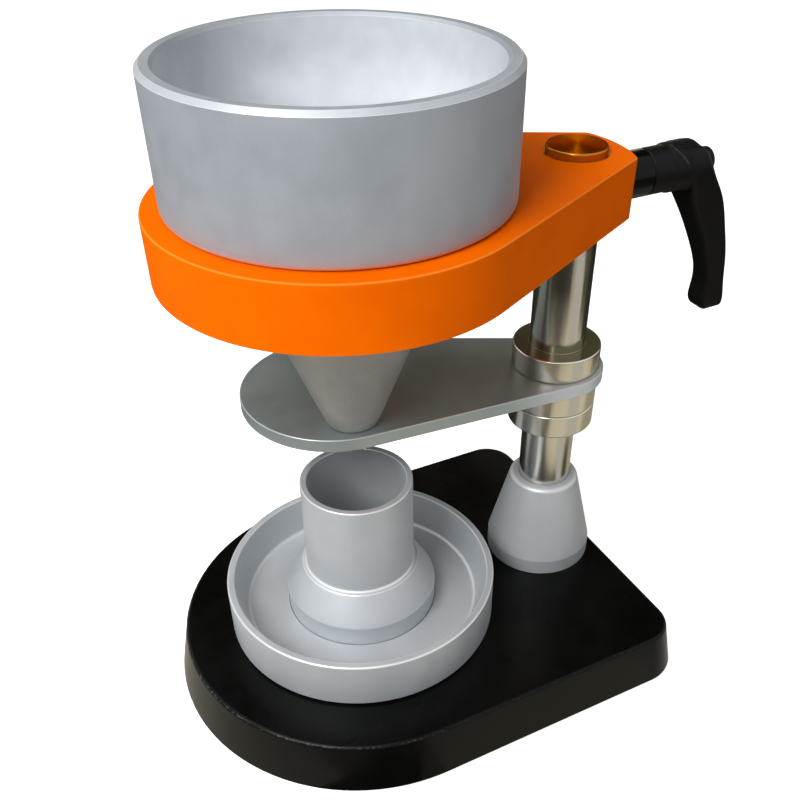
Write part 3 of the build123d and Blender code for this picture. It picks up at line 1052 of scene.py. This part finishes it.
def slab(node, loops, rows, material, drills=(), worn_at=worn_evenly):
    """Closed solid between rows of an outline and its holes, in millimetres."""
    work = bmesh.new()
    wear_and_light = work.verts.layers.float.new(EDGE_ATTRIBUTE)
    rims = {0: [], len(rows) - 1: []}
    for loop in loops:
        drawn = []
        vectors = inwards(loop)
        for inset, height, worn_and_lit in rows:
            places = [point + vector * inset for point, vector in zip(loop, vectors)]
            drawn.append([work.verts.new((p.x * MM, p.y * MM, height * MM)) for p in places])
            for vertex in drawn[-1]:
                vertex[wear_and_light] = worn_and_lit * worn_at(vertex.co / MM)
        for below, above in zip(drawn, drawn[1:]):
            for i in range(len(loop)):
                j = (i + 1) % len(loop)
                work.faces.new((below[i], below[j], above[j], above[i]))
        for row in rims:
            ring = drawn[row]
            rims[row] += [work.edges.get((ring[i - 1], ring[i])) for i in range(len(ring))]
    for edges in rims.values():
        bmesh.ops.triangle_fill(work, edges=edges, use_beauty=True)
    mesh = bpy.data.meshes.new(node + "_slab")
    work.to_mesh(mesh)
    work.free()
    close(mesh)
    piece = new_piece(node + "_slab", mesh)
    drill(piece, drills)
    dress(piece, node, material)


print("slabs are marked with", EDGE_ATTRIBUTE)


# %% [markdown]
# The base is a heavy casting with drafted sides: round in front, straight along the sides, with
# two rounded corners behind. The dish is drawn off over its front edge, so the coat has chipped
# most there. A rubber sole fills the recess in its underside. Half a cylinder joined to a box would
# leave a seam, so one outline serves both pieces: the sole's is that of the base, drawn in.

# %% Base and sole
BASE_CORNER = 20.0
BASE_DRAFT = math.tan(math.radians(10.0))
BASE_EDGE = 1.8
BASE_FRONT_STEPS = 96
BASE_CORNER_STEPS = 16
WORN_FROM = 20.0
WORN_FADE = 70.0
SIDE_WEAR = 0.84
SOLE_MARGIN = 6.05
SOLE_EDGE = 0.3

base_low, base_high = span("base_plate")
sole_low, sole_high = span("rubber_sole")


def base_outline(inset=0.0):
    """Round in front, straight at the sides, with two rounded corners behind."""
    half = base_high.y - inset
    rear = base_high.x - inset
    corner = BASE_CORNER - inset
    front = arc((0, 0), half, 90, 270, BASE_FRONT_STEPS)
    low_corner = arc((rear - corner, corner - half), corner, 270, 360, BASE_CORNER_STEPS)
    high_corner = arc((rear - corner, half - corner), corner, 0, 90, BASE_CORNER_STEPS)
    return front + low_corner + high_corner


def worn_in_front(place):
    """The full edge mark on the front of the base, where the coat is most chipped, and a little less along
    its sides.
    """
    share = min(1.0, max(0.0, (WORN_FROM - place.x) / WORN_FADE))
    return SIDE_WEAR + (1.0 - SIDE_WEAR) * share


base_rows = edge_rows(base_low.z, base_high.z, BASE_EDGE, BASE_DRAFT)
slab("base_plate", [base_outline()], base_rows, black_paint, worn_at=worn_in_front)
slab("rubber_sole", [base_outline(SOLE_MARGIN)], edge_rows(sole_low.z, sole_high.z, SOLE_EDGE), black_rubber)


# %% [markdown]
# The arm is round under the hopper. Straight flanks run from that round to the rear corners, and
# a slightly crowned end closes it behind the column. Tangents make it smooth: the flank leaves the
# front circle where a line from the corner just touches it.

# %% Arm
ARM_CORNER_SETBACK = 3.2
ARM_CORNER_HALF_WIDTH = 17.1
ARM_CORNER_ROUND = 4.0
ARM_EDGE = 0.9
ARM_BORE_GAP = 0.3
ARM_FRONT_STEPS = 144
ARM_CORNER_STEPS = 10
ARM_REAR_STEPS = 24
COLUMN_BORE = 13.1
STUD_HOLE = 4.1


def arm_outline():
    front = -arm_low.x
    corner = Vector((arm_high.x - ARM_CORNER_SETBACK, ARM_CORNER_HALF_WIDTH))
    touch = math.atan2(corner.y, corner.x) + math.acos(front / corner.length)
    normal = Vector((math.cos(touch), math.sin(touch)))
    along = Vector((normal.y, -normal.x))
    crown = (corner.y ** 2 + ARM_CORNER_SETBACK ** 2) / (2 * ARM_CORNER_SETBACK)
    crown_centre = Vector((arm_high.x - crown, 0))
    start = normal * (front - ARM_CORNER_ROUND) - crown_centre
    half = start.dot(along)
    length = -half + math.sqrt(half ** 2 - start.length_squared + (crown - ARM_CORNER_ROUND) ** 2)
    centre = crown_centre + start + along * length
    flank = math.degrees(touch)
    rear = math.degrees(math.atan2(centre.y, centre.x - crown_centre.x))
    outline = arc((0, 0), front, flank, 360 - flank, ARM_FRONT_STEPS)
    outline += arc((centre.x, -centre.y), ARM_CORNER_ROUND, -flank, -rear, ARM_CORNER_STEPS)
    outline += arc(crown_centre, crown, -rear, rear, ARM_REAR_STEPS)[1:-1]
    return outline + arc(centre, ARM_CORNER_ROUND, rear, flank, ARM_CORNER_STEPS)


hopper_hole = hole((0, 0), spigot_radius + ARM_BORE_GAP, ARM_FRONT_STEPS)
arm_loops = [arm_outline(), hopper_hole, hole(column_centre, COLUMN_BORE)]
stud_low, stud_high = span("clamp_stud")
stud_height = (stud_low.z + stud_high.z) / 2
stud_start = (column_centre.x, 0, stud_height)
stud_end = (arm_high.x + DRILL_OVERRUN, 0, stud_height)
arm_rows = edge_rows(arm_low.z, arm_high.z, ARM_EDGE)
slab("arm", arm_loops, arm_rows, orange_paint, drills=[(stud_start, stud_end, STUD_HOLE)])


# %% [markdown]
# The shutter plate is the hull of two circles, turned a little aside on the column, as it is left
# when powder has run out. Drawn where it rests, its tangents would be hard to follow. So it is
# drawn straight, and its points are swung about the column, as the real plate is.

# %% Shutter plate
PLATE_RADIUS = 42.0
PLATE_END_RADIUS = 22.1
PLATE_EDGE = 0.6
# The plate's edges are painted lighter as a painted highlight, and its wall as painted light.
PLATE_EDGE_HIGHLIGHT = 0.5
PLATE_WALL_LIGHT = 0.22
PLATE_FRONT_STEPS = 96
SHUTTER_SWING = 15.6


def plate_outline():
    distance = column_centre.x
    touch = math.degrees(math.acos((PLATE_RADIUS - PLATE_END_RADIUS) / distance))
    front = arc((0, 0), PLATE_RADIUS, touch, 360 - touch, PLATE_FRONT_STEPS)
    return front + arc((distance, 0), PLATE_END_RADIUS, -touch, touch)


def swung(loop):
    """Turns a loop about the column, to where the shutter rests."""
    turn = Matrix.Rotation(math.radians(-SHUTTER_SWING), 2)
    pivot = Vector((column_centre.x, 0))
    return [pivot + turn @ (point - pivot) for point in loop]


plate_hole = hole(column_centre, hub_spigot_radius + FIT)
plate_rows = edge_rows(plate_low.z, plate_high.z, PLATE_EDGE, edge_wear_and_highlight=PLATE_EDGE_HIGHLIGHT,
                       wall_light=PLATE_WALL_LIGHT)
slab("shutter_plate", [swung(plate_outline()), swung(plate_hole)], plate_rows, plate_aluminium)


# %% [markdown]
# ## Clamp lever
# The lever is a die casting: every inside corner is a soft blend, which a bevel can't give where
# hub and handle meet. So a copy of its solid is merged, remeshed into even cells and relaxed. A
# fine ridge on the hub is lifted a little, and its crest is painted lighter as a painted highlight.

# %% Lever
LEVER_CELL = 0.4
RELAX_FACTOR = 0.5
RELAX_STEPS = 4
RIDGE = [Vector(place) for place in [
    (147.2, -1.6, 227.4),
    (147.8, -5.2, 226.2),
    (150.1, -8.1, 223.6),
    (151.5, -9.4, 221.4),
]]
RIDGE_WIDTH = 0.8
RIDGE_HEIGHT = 0.15


def ridge_highlight(place):
    """Falls from 1 on the ridge's painted highlight to 0 beside it."""
    nearest = RIDGE_WIDTH
    for start, end in zip(RIDGE, RIDGE[1:]):
        along = end - start
        share = min(max((place - start).dot(along) / along.length_squared, 0), 1)
        nearest = min(nearest, (place - start - along * share).length)
    return 1 - nearest / RIDGE_WIDTH


def lever():
    solid = frame["nodes"]["clamp_lever"].data.copy()
    piece = new_piece("clamp_lever_casting", solid)
    close(solid)
    cells = piece.modifiers.new("cells", "REMESH")
    cells.mode = "VOXEL"
    cells.voxel_size = LEVER_CELL * MM
    relax = piece.modifiers.new("relax", "SMOOTH")
    relax.factor = RELAX_FACTOR
    relax.iterations = RELAX_STEPS
    casting = bake(piece)
    worn_and_lit = [ridge_highlight(vertex.co / MM) for vertex in casting.vertices]
    mark(casting, EDGE_ATTRIBUTE, worn_and_lit)
    lifts = [vertex.normal * share * RIDGE_HEIGHT * MM for vertex, share in zip(casting.vertices, worn_and_lit)]
    for vertex, lift in zip(casting.vertices, lifts):
        vertex.co += lift
    dress(piece, "clamp_lever", black_lever)


lever()


# %% [markdown]
# ## Return spring
# Inside the hub a coil spring pulls the lever back on its teeth. A Screw modifier could wind its
# wire, but with no closed ends. So a tree sweeps a small circle along a spiral curve and caps it.

# %% Coil tree
SPIRAL_STEPS = 40
WIRE_STEPS = 16


def coil_tree():
    nodes, given = geometry_tree("coil", {
        "Geometry": "NodeSocketGeometry",
        "Radius": "NodeSocketFloat",
        "Length": "NodeSocketFloat",
        "Coils": "NodeSocketFloat",
        "Wire": "NodeSocketFloat",
        "Start": "NodeSocketVector",
        "Finish": "NodeSocketMaterial",
    })
    spiral = nodes.node("GeometryNodeCurveSpiral", None, {
        "Resolution": SPIRAL_STEPS,
        "Rotations": given["Coils"],
        "Start Radius": given["Radius"],
        "End Radius": given["Radius"],
        "Height": given["Length"],
    })
    section = {"Resolution": WIRE_STEPS, "Radius": given["Wire"]}
    wire = nodes.node("GeometryNodeCurvePrimitiveCircle", None, section)
    ends = {"Curve": spiral, "Profile Curve": wire, "Fill Caps": True}
    wound = nodes.node("GeometryNodeCurveToMesh", None, ends)
    lying = {"Geometry": wound, "Rotation": (0, math.pi / 2, 0), "Translation": given["Start"]}
    placed = nodes.node("GeometryNodeTransform", None, lying)
    return end_tree(nodes, placed, given["Finish"])


COIL = coil_tree()
print("coil nodes", len(COIL.nodes))


# %% [markdown]
# The sleeve that stands for the spring among the solids gives its sizes. When the lever is lifted,
# the coils close. Bones could move each coil, but that is much for a hidden spring, so the piece
# keeps its shape and only gets a mesh of its own.

# %% Wind the spring
WIRE_RADIUS = 0.6
COILS = 5.0


def spring():
    low, high = span("clamp_spring")
    middle = (low + high) / 2
    piece = new_piece("clamp_spring_coil", bpy.data.meshes.new("clamp_spring_coil"))
    sizes = {
        "Radius": ((high.z - low.z) / 2 - WIRE_RADIUS) * MM,
        "Length": (high.x - low.x - 2 * WIRE_RADIUS) * MM,
        "Coils": COILS,
        "Wire": WIRE_RADIUS * MM,
        "Start": [(low.x + WIRE_RADIUS) * MM, 0.0, middle.z * MM],
        "Finish": turned_steel,
    }
    run_tree(piece, COIL, sizes)
    dress(piece, "clamp_spring", turned_steel)
    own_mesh(piece)


spring()


# %% [markdown]
# ## Small pieces that keep their solids
# Bolt, washer, set screws, bushes, pad, stud and retaining screw have the right shape already, so
# nothing is built over them. They keep their solids and only take a finish.

# %% Finish the small pieces
small_finishes = {
    "column_bolt": dark_steel,
    "column_washer": polished_steel,
    "collar_set_screws": dark_steel,
    "guide_bushes": brass,
    "clamp_pad": brass,
    "clamp_stud": dark_steel,
    "clamp_retaining_screw": dark_steel,
}
for node, material in small_finishes.items():
    solid = frame["nodes"][node]
    solid.data.materials.clear()
    solid.data.materials.append(material)
print("small pieces", len(small_finishes))


# %% [markdown]
# ## Surround and floor
# The photograph has a white ground. More light would make the surround white, but it would bleach
# the object too. So the surround is white to the camera and to reflections, and softer as a light.

# %% White surround
SURROUND_LIGHT = 0.26
WHITE = (1, 1, 1, 1)
SEEN_BY = ("Is Camera Ray", "Is Glossy Ray", "Is Transmission Ray")


def seen_rays(nodes):
    """1 for the camera, for reflections and for what is seen through glass, and 0 for light."""
    seen = nodes.node("ShaderNodeLightPath", output=SEEN_BY[0])
    for name in SEEN_BY[1:]:
        other = nodes.node("ShaderNodeLightPath", output=name)
        seen = nodes.node("ShaderNodeMath", {"operation": "MAXIMUM"}, {0: seen, 1: other})
    return seen


world = bpy.data.worlds.new("surround")
world.use_nodes = True
scene.world = world
surround = Nodes(world.node_tree)
background = world.node_tree.nodes["Background"]
strength = SURROUND_LIGHT + (1 - SURROUND_LIGHT) * seen_rays(surround)
surround.feed(background.inputs["Strength"], strength)
surround.feed(background.inputs["Color"], WHITE)
print("surround", SURROUND_LIGHT, "as a light")


# %% [markdown]
# The apparatus stands on a bench, and its shadow shows where. A floor that is lit until it is white
# would throw that light up at the object. This one is pale, and it glows only for the rays that
# see it, so it looks nearly white and still takes the shadow.

# %% Pale floor
FLOOR_SIZE = 8.0
FLOOR_GLOW = 0.8
BLACK = (0, 0, 0, 1)
floor_constants = {
    "Base Color": (0.86, 0.86, 0.86, 1),
    "Roughness": 0.7,
    "Specular IOR Level": 0.0,
    "Emission Strength": FLOOR_GLOW,
}

half = FLOOR_SIZE / 2
floor_mesh = bpy.data.meshes.new("floor")
floor_mesh.from_pydata([(-half, -half, 0), (half, -half, 0), (half, half, 0), (-half, half, 0)], [],
                       [(0, 1, 2, 3)])
floor = new_piece("floor", floor_mesh)
floor_paint = Finish("pale_floor", floor_constants)
floor_paint.set("Emission Color", floor_paint.mix(seen_rays(floor_paint), BLACK, WHITE))
floor_mesh.materials.append(floor_paint.material)
print("floor", FLOOR_SIZE, "m wide")


# %% [markdown]
# ## Lamps
# Window light from the front left gives the photograph its shade, and the ceiling fills it in. A
# sun lamp would cut hard edges into that shade, so two soft area lamps do both. They are placed by
# angles round the object, as one would walk a lamp round a table.

# %% Set the lamps
AIM = Vector((30, 0, 130))
LAMPS = {
    "key": dict(turn=208, height=44, distance=1200, size=600, power=13.2),
    "top": dict(turn=150, height=75, distance=1100, size=800, power=3.0),
}


def round_point(centre, radius, degrees):
    """Across and along of a point round a centre, by its angle on the bench."""
    angle = math.radians(degrees)
    return centre.x + radius * math.cos(angle), centre.y + radius * math.sin(angle)


def set_lamp(name, turn, height, distance, size, power):
    level = distance * math.cos(math.radians(height))
    rise = distance * math.sin(math.radians(height))
    place = Vector((*round_point(AIM, level, turn), AIM.z + rise)) * MM
    lamp_data = bpy.data.lights.new(name, "AREA")
    lamp_data.size = size * MM
    lamp_data.energy = power
    lamp = bpy.data.objects.new(name, lamp_data)
    lamp.location = place
    lamp.rotation_euler = (AIM * MM - place).to_track_quat("-Z", "Y").to_euler()
    scene.collection.objects.link(lamp)


for name, setting in LAMPS.items():
    set_lamp(name, **setting)
print("lamps", list(LAMPS))


# %% [markdown]
# ## Cards that only reflections see
# Steel looks like steel by what it mirrors, and in an all white room it would look like paper. As
# a product photographer does, this studio sets up dark and light cards. Only reflections see them,
# so they neither light the object nor show in the picture.

# %% A card
def card(name, corners, colour):
    """A flat glowing sheet that shows in reflections and nowhere else."""
    mesh = bpy.data.meshes.new(name)
    mesh.from_pydata([Vector(corner) * MM for corner in corners], [], [range(len(corners))])
    sheet = new_piece(name, mesh)
    paint = Finish(name, {
        "Base Color": BLACK,
        "Specular IOR Level": 0.0,
        "Emission Color": opaque(colour),
        "Emission Strength": 1.0,
    })
    mesh.materials.append(paint.material)
    sheet.visible_camera = False
    sheet.visible_diffuse = False
    sheet.visible_shadow = False
    sheet.visible_transmission = False


print("cards are set up over the", floor.name)


# %% [markdown]
# Upright walls, seen from above, mirror the bench. A dark sheet over all of it keeps hopper, cup
# and dish from going pale, and lighter sheets lie where the photograph's metal shows a lit bench:
# in front, at the left and along the flank. They lie a little above each other, so the upper hides
# the lower.

# %% Cards on the bench
BENCH_CARDS = [
    dict(name="bench_card", height=0.4, x=(-1850, 1850), y=(-1850, 1850), colour=(0.03, 0.028, 0.02)),
    dict(name="front_card", height=0.6, x=(-400, 350), y=(-600, 95), colour=(0.45, 0.41, 0.31)),
    dict(name="left_card", height=0.7, x=(-300, -50), y=(-90, 120), colour=(0.9, 0.83, 0.66)),
    dict(name="flank_card", height=0.65, x=(0, 400), y=(-320, -92), colour=(0.8, 0.73, 0.55)),
]


def flat_card(name, height, x, y, colour):
    card(name, [(x[0], y[0], height), (x[1], y[0], height), (x[1], y[1], height), (x[0], y[1], height)],
         colour)


for setting in BENCH_CARDS:
    flat_card(**setting)
print("cards on the bench", len(BENCH_CARDS))


# %% [markdown]
# A polished bar shows the bench as upright streaks, one for each direction. Squares would blur such
# a streak's sides, so these cards are wedges between two directions from the column. The dark ones
# draw the dark bands of column, collars and hub, and the light one draws the bright streak.

# %% Wedges round the column
WEDGE_HEIGHT = 0.8
WEDGES = [
    dict(name="shade_wedge", turn=(205, 268), reach=(320, 700), colour=(0.02, 0.018, 0.014)),
    dict(name="left_wedge", turn=(155, 205), reach=(290, 700), colour=(0.03, 0.028, 0.02)),
    dict(name="hub_wedge", turn=(150, 236), reach=(180, 232), colour=(0.1, 0.09, 0.075)),
    dict(name="streak_wedge", turn=(280, 312), reach=(60, 900), colour=(0.62, 0.60, 0.54)),
    dict(name="near_wedge", turn=(318, 345), reach=(60, 150), colour=(0.09, 0.08, 0.06)),
    dict(name="far_wedge", turn=(318, 345), reach=(300, 900), colour=(0.09, 0.08, 0.06)),
]


def wedge(name, turn, reach, colour):
    """A card on the bench between two directions from the column."""
    near, far = reach
    ends = [(near, turn[0]), (far, turn[0]), (far, turn[1]), (near, turn[1])]
    foot = Vector((column_centre.x, 0))
    card(name, [(*round_point(foot, radius, degrees), WEDGE_HEIGHT) for radius, degrees in ends], colour)


for setting in WEDGES:
    wedge(**setting)
print("wedges", len(WEDGES))


# %% [markdown]
# Level faces mirror what stands behind the object. A wall of two cards, lighter below and dark
# above, gives collars, plate and rims their tone. A bright lamp there would light the object as
# well, so in front of the wall a warm card and a slim bright one put the glow and the glint on the
# cap.

# %% Cards behind the object
BACK_LINE = ((-400, 1500), (1600, 300))
GLOW_LINE = ((558, 775), (709, 664))
GLINT_LINE = ((170, 97.5), (174, 94.5))
UPRIGHT_CARDS = [
    dict(name="low_back_card", line=BACK_LINE, z=(100, 620), colour=(0.28, 0.26, 0.20)),
    dict(name="high_back_card", line=BACK_LINE, z=(620, 2400), colour=(0.055, 0.05, 0.032)),
    dict(name="glow_card", line=GLOW_LINE, z=(100, 480), colour=(1.3, 1.15, 0.9)),
    dict(name="glint_card", line=GLINT_LINE, z=(268, 335), colour=(4.0, 3.6, 3.0)),
]


def upright_card(name, line, z, colour):
    start, end = line
    card(name, [(*start, z[0]), (*end, z[0]), (*end, z[1]), (*start, z[1])], colour)


for setting in UPRIGHT_CARDS:
    upright_card(**setting)
print("cards behind the object", len(UPRIGHT_CARDS))


# %% [markdown]
